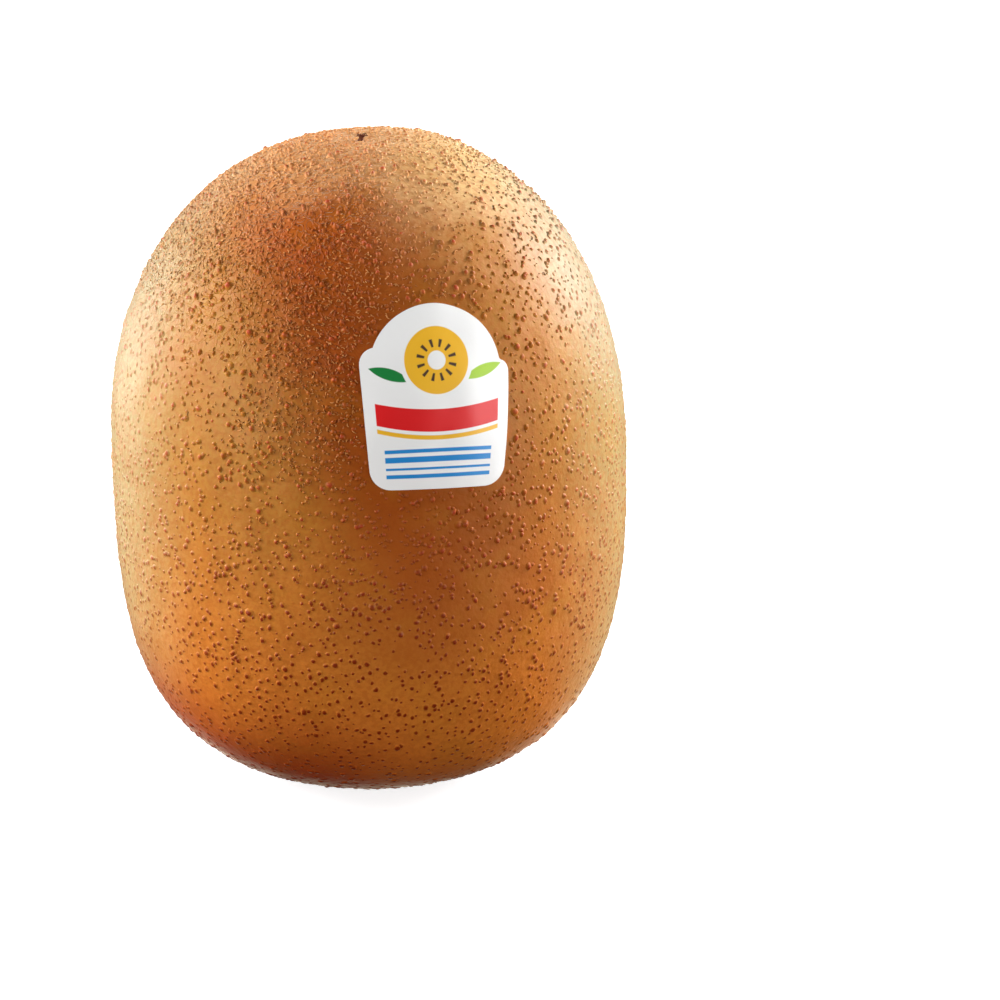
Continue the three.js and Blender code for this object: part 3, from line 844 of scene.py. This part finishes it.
def under_sticker(directions, sticker, form, margin):
    """Which directions meet the skin under the sticker or within a margin of it."""
    out, right, top, reach = sticker_axes(sticker, form)
    facing = directions @ out
    scale = reach / np.maximum(facing, 1e-6)
    x, y = (directions @ right) * scale, (directions @ top) * scale
    spring = sticker.height / 2 - sticker.dome_rise
    dome = (x / (sticker.dome_half + margin)) ** 2 + ((y - spring) / (sticker.dome_rise + margin)) ** 2 < 1
    shoulder = np.where(x < 0, sticker.left_shoulder, sticker.right_shoulder) + margin
    sides = (np.abs(x) < sticker.width / 2 + margin) & (y < shoulder) & (y > -sticker.height / 2 - margin)
    return (facing > 0.5) & (dome | sides)


# ---------------------------------------------------------------- operators

class KIWI_OT_grow_skin(bpy.types.Operator):
    """Grows the smooth skin of the whole fruit"""

    bl_idname = "kiwi.grow_skin"
    bl_label = "Skin"

    def execute(self, context):
        form, skin = context.scene.kiwi_form, context.scene.kiwi_skin
        directions, faces, texture = patch_grid(form.facets)
        points = on_skin(directions, np.zeros(len(directions)), form)
        piece = new_piece("skin", points, faces.tolist(), skin_material(skin, form), ["fruit"])
        lay_uv(piece, texture)
        return {"FINISHED"}


def by_level(directions, foot, side, crown):
    """A value that goes from the foot's to the side's to the crown's with the height of directions."""
    return np.interp(directions[:, 2], SPECK_LEVELS, (foot, side, side, crown))


def tongue(directions, fuzz):
    """How far directions lie in the rough patch that reaches down the front, from 0 to 1."""
    aside = np.arctan2(directions[:, 0], -directions[:, 1]) - fuzz.tongue
    return hump(aside / fuzz.tongue_spread) * np.clip((directions[:, 2] - 0.1) / 0.45, 0, 1)


def usual_radius(directions, specks):
    """A speck's usual radius in each direction."""
    return by_level(directions, specks.foot_radius, specks.side_radius, specks.crown_radius)


def speck_heights(directions, radius, specks, fuzz, rng):
    """Heights of specks: more near the blossom end and in the rough patch, less on the narrow sides."""
    height = specks.steep * radius * rng.uniform(0.6, 1.2, len(directions))
    height *= by_level(directions, specks.foot_height, specks.side_height, specks.crown_height)
    height *= 1 + 0.5 * tongue(directions, fuzz)
    narrow_sides = np.clip((np.abs(directions[:, 0]) - 0.55) / 0.35, 0, 1)
    return height * (1 - specks.flattened * narrow_sides)


def scattered_specks(specks, sticker, form, rng):
    """Direction, radius and tint of every speck, with some run together in twos."""
    directions = spread_directions(specks.places, rng, stray=0.3)
    patchy = 1 + 0.16 * ripples(directions, 0.35, seed=8)
    share = by_level(directions, specks.foot_share, specks.side_share, specks.crown_share) * patchy
    directions = directions[rng.random(len(directions)) < share]
    ahead, _ = random_headings(directions, rng)
    stray = 1.5 * usual_radius(directions, specks) / skin_radius(directions, form)
    beside = unit(directions + ahead * stray[:, None])
    directions = np.concatenate([directions, beside[rng.random(len(beside)) < specks.pairs]])
    from_axis = np.hypot(directions[:, 0], directions[:, 1]) * skin_radius(directions, form)
    clearance = np.where(directions[:, 2] > 0, specks.crown_clearance, specks.foot_clearance)
    bare = (from_axis < clearance) | under_sticker(directions, sticker, form, 0.3 * MM)
    directions = directions[~bare]
    tint = rng.beta(1.2, 1.9, len(directions))
    uneven = np.clip(rng.normal(1, specks.uneven, len(directions)), 0.5, 1.6)
    return directions, usual_radius(directions, specks) * uneven * (0.86 + 0.36 * tint), tint


def speck_points(directions, radius, specks, fuzz, form, rng):
    """Points of low, uneven domes, their rise from 0 to 1, and their places in the texture."""
    count, sides = len(directions), SPECK_SIDES
    ahead, aside = random_headings(directions, rng)
    slim = rng.uniform(0.66, 1, count)[:, None]
    uneven = 1 + rng.normal(0, 0.1, (count, sides))
    height = speck_heights(directions, radius, specks, fuzz, rng)
    angles = np.arange(sides) * 2 * math.pi / sides
    local, rise = [np.zeros((count, 1, 2))], [np.ones((count, 1))]
    for reach, profile in SPECK_RINGS:
        out = reach * radius[:, None] * uneven
        local.append(np.stack([out * np.cos(angles), out * slim * np.sin(angles)], -1))
        rise.append(np.full((count, sides), profile))
    local, rise = np.concatenate(local, 1), np.concatenate(rise, 1)
    middles = directions * skin_radius(directions, form)[:, None]
    aims = unit(middles[:, None] + ahead[:, None] * local[..., :1] + aside[:, None] * local[..., 1:])
    points = on_skin(aims.reshape(-1, 3), (rise * height[:, None]).ravel(), form)
    places = local / (2.7 * radius[:, None, None]) + 0.5
    return points, rise, places


def speck_faces(count):
    """Faces of that many domes."""
    rings, sides = len(SPECK_RINGS), SPECK_SIDES
    fan, bands = fan_and_bands(rings, sides)
    start = (np.arange(count) * (1 + rings * sides))[:, None, None]
    return (start + fan).reshape(-1, 3).tolist() + (start + bands).reshape(-1, 4).tolist()


class KIWI_OT_raise_specks(bpy.types.Operator):
    """Raises the corky specks, in three bands from the blossom end down"""

    bl_idname = "kiwi.raise_specks"
    bl_label = "Specks"

    def execute(self, context):
        scene = context.scene
        form, specks = scene.kiwi_form, scene.kiwi_specks
        rng = np.random.default_rng(41)
        directions, radius, tint = scattered_specks(specks, scene.kiwi_sticker, form, rng)
        material = speck_material(scene.kiwi_skin, specks, form)
        downward = np.argsort(-directions[:, 2])
        for name, chosen in zip(("upper", "middle", "lower"), np.array_split(downward, 3)):
            points, rise, places = speck_points(
                directions[chosen], radius[chosen], specks, scene.kiwi_fuzz, form, rng
            )
            piece = new_piece("specks_" + name, points, speck_faces(len(chosen)), material)
            cells, cell = grid_cells(len(chosen))
            lay_uv_by_point(piece, (cells[:, None] + places * cell).reshape(-1, 2))
            mark(piece, "rise", np.clip(rise, 0, 1))
            mark(piece, "tint", np.repeat(tint[chosen], rise.shape[1]))
        return {"FINISHED"}


class KIWI_OT_grow_fuzz(bpy.types.Operator):
    """Grows the short curled hairs, thick at the blossom end and gone below the middle"""

    bl_idname = "kiwi.grow_fuzz"
    bl_label = "Fuzz"

    def execute(self, context):
        scene = context.scene
        form, fuzz = scene.kiwi_form, scene.kiwi_fuzz
        rng = np.random.default_rng(67)
        roots = self.roots(fuzz, scene.kiwi_sticker, form, rng)
        material = fuzz_material(fuzz, scene.kiwi_skin, form)
        for name, chosen in zip(("crown", "shoulder"), np.array_split(roots, 2)):
            points, faces, index = self.hairs(chosen, fuzz, form, rng)
            self.dress(new_piece("fuzz_" + name, points, faces, material), index, rng)
        return {"FINISHED"}

    def roots(self, fuzz, sticker, form, rng):
        """Where hairs stand, from the top down: most round the blossom end but for its worn side."""
        roots = spread_directions(fuzz.count * 6, rng, stray=0.5)
        patchy = 1 + 0.5 * ripples(roots, 0.5, seed=9)
        worn = roots[:, 0] * math.sin(fuzz.worn) - roots[:, 1] * math.cos(fuzz.worn)
        crown = np.clip((roots[:, 2] - 0.6) / 0.33, 0, 1) * np.clip(0.75 - 1.3 * worn, 0.12, 1)
        share = np.maximum(crown, tongue(roots, fuzz)) * patchy
        kept = rng.random(len(roots)) < share
        kept &= ~under_sticker(roots, sticker, form, 0.5 * MM)
        roots = roots[kept]
        roots = roots[rng.permutation(len(roots))[:fuzz.count]]
        return roots[np.argsort(-roots[:, 2])]

    def hairs(self, roots, fuzz, form, rng):
        """Tubes along arcs that lie on the skin, each lifted off it at its middle."""
        count, steps = len(roots), 5
        ahead, aside = random_headings(roots, rng)
        span = fuzz.least + (fuzz.most - fuzz.least) * rng.uniform(0, 1, count)[:, None] ** 1.6
        turning = fuzz.curl * rng.uniform(0.15, 1, count)[:, None] * rng.choice([-1, 1], count)[:, None]
        t = np.linspace(0, 1, steps)[None]
        forward = (span * np.sin(turning * t) / turning)[..., None]
        side = (span * (1 - np.cos(turning * t)) / turning)[..., None]
        middles = roots * skin_radius(roots, form)[:, None]
        aims = unit(middles[:, None] + ahead[:, None] * forward + aside[:, None] * side)
        lift = fuzz.lift * rng.uniform(0.4, 1.3, count)[:, None] * np.sin(math.pi * (0.06 + 0.82 * t))
        paths = on_skin(aims.reshape(-1, 3), (lift - 0.02 * MM).ravel(), form).reshape(count, steps, 3)
        radii = fuzz.radius * (1 - 0.6 * t) * rng.uniform(0.45, 1, count)[:, None]
        return tubes(paths, roots, radii, 3)

    def dress(self, piece, index, rng):
        """Lays out the texture of hairs whose points are numbered in index, and gives each its tint."""
        count, steps, sides = index.shape
        cells, cell = grid_cells(count)
        along, around = np.linspace(0.1, 0.9, steps), np.linspace(0.1, 0.9, sides)
        local = np.stack(np.meshgrid(along, around, indexing="ij"), -1)
        lay_uv_by_point(piece, (cells[:, None, None] + local[None] * cell).reshape(-1, 2))
        mark(piece, "tint", np.repeat(rng.random(count), steps * sides))


class KIWI_OT_stick_label(bpy.types.Operator):
    """Lays the printed paper sticker on the skin"""

    bl_idname = "kiwi.stick_label"
    bl_label = "Sticker"

    def execute(self, context):
        scene = context.scene
        form, sticker = scene.kiwi_form, scene.kiwi_sticker
        rings, count = 16, 200
        outline = sticker_outline(sticker, count)
        shares = np.concatenate([np.arange(1, rings) / (rings - 0.5), [1.0]])
        flat = np.concatenate([[[0, 0]], (shares[:, None, None] * outline[None]).reshape(-1, 2)])
        out, right, top, reach = sticker_axes(sticker, form)
        aims = unit(out * reach + flat[:, :1] * right + flat[:, 1:] * top)
        waves = 0.012 * MM * ripples(aims * reach, 3 * MM, seed=5)
        front = on_skin(aims, sticker.gap + sticker.paper + waves, form)
        back = on_skin(aims, sticker.gap + waves, form)
        faces = self.sheet_faces(rings, count, len(front))
        piece = new_piece("sticker", np.concatenate([front, back]), faces,
                          sticker_material(sticker), ["label"])
        places = flat / (1.08 * sticker.height) + 0.5
        beside = np.concatenate([places * [0.5, 1], places * [0.5, 1] + [0.5, 0]])
        lay_uv_by_point(piece, beside)
        for name, axis in (("print_x", 0), ("print_y", 1)):
            mark(piece, name, np.tile(flat[:, axis] / MM, 2))
        piece.data.set_sharp_from_angle(angle=math.radians(50))
        return {"FINISHED"}

    def sheet_faces(self, rings, sides, size):
        """Front and back, and the paper's edge."""
        fan, bands = fan_and_bands(rings, sides)
        rim = 1 + (rings - 1) * sides + np.arange(sides)
        following = np.roll(rim, -1)
        edge = np.stack([rim, rim + size, following + size, following], 1)
        fans = [*fan.tolist(), *(fan[:, ::-1] + size).tolist()]
        return fans + [*bands.tolist(), *(bands[:, ::-1] + size).tolist(), *edge.tolist()]


class KIWI_OT_set_remnant(bpy.types.Operator):
    """Sets the dark withered flower in the pit of the blossom end"""

    bl_idname = "kiwi.set_remnant"
    bl_label = "Flower remnant"

    def execute(self, context):
        form, ends = context.scene.kiwi_form, context.scene.kiwi_ends
        rng = np.random.default_rng(11)
        radius, height = ends.remnant_radius, ends.remnant_height
        disc_part = revolved([
            (0, 0), (0.85 * radius, 0), (radius, 0.3 * height), (0.9 * radius, 0.75 * height),
            (0.5 * radius, height), (0, 0.85 * height),
        ], 28)
        aim = unit(np.array([[-ends.remnant_aside, -ends.remnant_ahead, form.half_height]]))
        seat = on_skin(aim, np.array([ends.remnant_gap]), form)[0]
        points, faces = together([disc_part, self.styles(ends, rng)])
        points = points + 0.05 * MM * ripples(points, 0.8 * MM, seed=2)[:, None] + seat
        material = dry_material("kiwi_withered", ends.wither, (0.24, 0.08, 0.035), 0.3 * MM)
        new_piece("flower_remnant", points, faces, material, ["dried_styles"])
        return {"FINISHED"}

    def styles(self, ends, rng):
        count, steps = ends.styles, 9
        angle = np.arange(count) * GOLDEN_ANGLE
        outward = np.stack([np.cos(angle), np.sin(angle), np.zeros(count)], 1)
        aside = np.stack([-np.sin(angle), np.cos(angle), np.zeros(count)], 1)
        reach = ends.style_reach * rng.uniform(0.5, 1, count)[:, None]
        rise = ends.style_rise * rng.uniform(0.45, 1, count)[:, None]
        t = np.linspace(0, 1, steps)[None]
        away = reach * (0.1 + 0.9 * t)
        up = 0.4 * ends.remnant_height + rise * np.sin(math.pi * 0.72 * t) * 0.75
        curl = reach * 0.45 * rng.uniform(-1, 1, count)[:, None] * t**2
        paths = outward[:, None] * away[..., None] + aside[:, None] * curl[..., None]
        paths[..., 2] = up
        radii = ends.style_radius * (1 - 0.55 * t) * rng.uniform(0.8, 1.2, count)[:, None]
        points, faces, _ = tubes(paths, aside, radii, 6)
        return points, faces


class KIWI_OT_set_calyx(bpy.types.Operator):
    """Sets the woody scar and the withered sepals in the hollow of the stem end"""

    bl_idname = "kiwi.set_calyx"
    bl_label = "Calyx"

    def execute(self, context):
        form, ends = context.scene.kiwi_form, context.scene.kiwi_ends
        rng = np.random.default_rng(5)
        sepals = [self.sepal(2 * math.pi * i / ends.sepals, rng, ends, form) for i in range(ends.sepals)]
        points, faces = together([self.scar(ends, form), *sepals])
        points[:, 2] += 0.04 * MM * ripples(points, 0.9 * MM, seed=6)
        material = dry_material("kiwi_calyx", ends.wood, (0.36, 0.22, 0.11), 0.5 * MM)
        new_piece("calyx_scar", points, faces, material, ["calyx"])
        return {"FINISHED"}

    def scar(self, ends, form):
        radius = ends.scar_radius
        roof = bowl_height(np.array([0, radius / 2, radius]), form) - ends.seat_gap
        floor = roof[2] - ends.scar_thickness
        return revolved([
            (0, floor + 0.45 * MM), (0.3 * radius, floor + 0.5 * MM), (0.46 * radius, floor + 0.4 * MM),
            (0.58 * radius, floor + 0.05 * MM), (0.75 * radius, floor), (0.92 * radius, floor + 0.08 * MM),
            (radius, floor + 0.3 * MM), (radius, roof[2]), (radius / 2, roof[1]), (0, roof[0]),
        ], 48)

    def sepal(self, angle, rng, ends, form):
        """One sepal lying along the hollow, curled and straying sideways towards its tip."""
        rows, columns = 14, 8
        along, over = np.linspace(0, 1, rows + 1), np.linspace(-1, 1, columns + 1)
        along, over = np.meshgrid(along, over, indexing="ij")
        distance = ends.sepal_root + (ends.sepal_reach - ends.sepal_root) * along
        width = ends.sepal_half_width * np.sqrt(1 - 0.96 * along) * (0.7 + 0.6 * along)
        aim = angle + rng.uniform(-0.28, 0.28) * along**2
        offset = over * width
        x = distance * np.cos(aim) - offset * np.sin(aim)
        y = distance * np.sin(aim) + offset * np.cos(aim)
        droop = 0.16 * MM * over**2 * along
        roof = bowl_height(np.hypot(x, y), form) - ends.seat_gap - 0.08 * MM - droop
        thickness = ends.sepal_thickness * (1 - 0.5 * over**2)
        upper = np.stack([x, y, roof], -1)
        lower = np.stack([x, y, roof - thickness], -1)
        return plate(rows, columns, upper, lower)


class KIWI_OT_set_stage(bpy.types.Operator):
    """Sets the pale floor, the soft lights and the camera"""

    bl_idname = "kiwi.set_stage"
    bl_label = "Studio"

    def execute(self, context):
        scene, studio, form = context.scene, context.scene.kiwi_studio, context.scene.kiwi_form
        aim = Vector((0, 0, middle_height(form)))
        self.set_camera(scene, studio, aim)
        self.set_floor(scene, studio)
        self.set_world(scene, studio)
        softboxes = (
            ("left_softbox", -95, 22, (0.35, 0.35), studio.left_light),
            ("left_front_softbox", -60, 0, (0.35, 0.35), studio.left_front_light),
            ("left_back_softbox", -125, 0, (0.35, 0.35), studio.left_back_light),
            ("right_softbox", 114, 22, (0.45, 0.35), studio.right_light),
            ("right_front_softbox", 60, 0, (0.35, 0.35), studio.right_front_light),
        )
        for name, azimuth, elevation, size, power in softboxes:
            self.set_softbox(scene, name, math.radians(azimuth), math.radians(elevation), size, power, aim)
        return {"FINISHED"}

    def set_camera(self, scene, studio, aim):
        data = bpy.data.cameras.new("camera")
        data.lens = studio.lens
        data.sensor_width = 36
        data.shift_x = studio.shift_right
        data.shift_y = studio.shift_up
        data.clip_start = 0.01
        camera = bpy.data.objects.new("camera", data)
        level = studio.distance * math.cos(studio.elevation)
        camera.location = aim + Vector((0, -level, studio.distance * math.sin(studio.elevation)))
        camera.rotation_euler = (aim - camera.location).to_track_quat("-Z", "Y").to_euler()
        scene.collection.objects.link(camera)
        scene.camera = camera
        scene.view_settings.view_transform = "Standard"

    def set_floor(self, scene, studio):
        half = studio.floor_size / 2
        mesh = bpy.data.meshes.new("floor")
        corners = [(-half, -half, 0), (half, -half, 0), (half, half, 0), (-half, half, 0)]
        mesh.from_pydata(corners, [], [(0, 1, 2, 3)])
        material, wiring = new_material("studio_floor")
        grain = wiring.noise(wiring.place(), 40 * MM)
        wiring.surface(
            Base_Color=wiring.mix(wiring.times(grain, 0.02), studio.floor, (1, 1, 1)),
            Roughness=0.8,
            Emission_Color=(1, 1, 1),
            Emission_Strength=0.8,
        )
        mesh.materials.append(material)
        floor = bpy.data.objects.new("floor", mesh)
        floor.visible_diffuse = False
        floor.visible_glossy = False
        scene.collection.objects.link(floor)

    def set_world(self, scene, studio):
        """White where it is seen, and dim where it lights the fruit."""
        world = bpy.data.worlds.new("studio")
        world.use_nodes = True
        wiring = Wiring(world.node_tree)
        seen = wiring.add("ShaderNodeLightPath").outputs["Is Camera Ray"]
        upward = wiring.split(wiring.add("ShaderNodeTexCoord").outputs["Generated"])[2]
        around = wiring.mix(wiring.step(upward, -0.15, -0.6), studio.room, studio.ground)
        shader = wiring.add("ShaderNodeBackground", {"Color": wiring.mix(seen, around, (1, 1, 1))})
        output = wiring.add("ShaderNodeOutputWorld")
        world.node_tree.links.new(shader.outputs[0], output.inputs[0])
        scene.world = world

    def set_softbox(self, scene, name, azimuth, elevation, size, power, aim):
        """A softbox seen from the fruit at an azimuth from the front towards +X, and an elevation."""
        data = bpy.data.lights.new(name, "AREA")
        data.shape = "RECTANGLE"
        data.size, data.size_y = size
        data.energy = power
        light = bpy.data.objects.new(name, data)
        level = math.cos(elevation)
        away = Vector((math.sin(azimuth) * level, -math.cos(azimuth) * level, math.sin(elevation)))
        light.location = aim + SOFTBOX_DISTANCE * away
        light.rotation_euler = (-away).to_track_quat("-Z", "Y").to_euler()
        light.visible_camera = False
        scene.collection.objects.link(light)


class KIWI_PT_panel(bpy.types.Panel):
    """Buttons for every piece of the fruit"""

    bl_idname = "KIWI_PT_panel"
    bl_label = "Golden Kiwi Fruit"
    bl_space_type = "VIEW_3D"
    bl_region_type = "UI"
    bl_category = "Kiwi"

    def draw(self, context):
        for operator in OPERATORS:
            self.layout.operator(operator.bl_idname)
        for name in SETTINGS:
            box = self.layout.box()
            group = getattr(context.scene, name)
            for key in group.__annotations__:
                box.prop(group, key)


SETTINGS = {
    "kiwi_form": KIWI_PG_form,
    "kiwi_skin": KIWI_PG_skin,
    "kiwi_specks": KIWI_PG_specks,
    "kiwi_fuzz": KIWI_PG_fuzz,
    "kiwi_sticker": KIWI_PG_sticker,
    "kiwi_ends": KIWI_PG_ends,
    "kiwi_studio": KIWI_PG_studio,
}
OPERATORS = (
    KIWI_OT_set_stage,
    KIWI_OT_grow_skin,
    KIWI_OT_raise_specks,
    KIWI_OT_grow_fuzz,
    KIWI_OT_stick_label,
    KIWI_OT_set_remnant,
    KIWI_OT_set_calyx,
)


def register():
    for group in (*SETTINGS.values(), *OPERATORS, KIWI_PT_panel):
        bpy.utils.register_class(group)
    for name, group in SETTINGS.items():
        setattr(bpy.types.Scene, name, bpy.props.PointerProperty(type=group))


def unregister():
    for name in SETTINGS:
        delattr(bpy.types.Scene, name)
    for group in reversed((*SETTINGS.values(), *OPERATORS, KIWI_PT_panel)):
        bpy.utils.unregister_class(group)


def main():
    register()
    bpy.ops.kiwi.set_stage()
    bpy.ops.kiwi.grow_skin()
    bpy.ops.kiwi.raise_specks()
    bpy.ops.kiwi.grow_fuzz()
    bpy.ops.kiwi.stick_label()
    bpy.ops.kiwi.set_remnant()
    bpy.ops.kiwi.set_calyx()


if __name__ == "__main__":
    main()
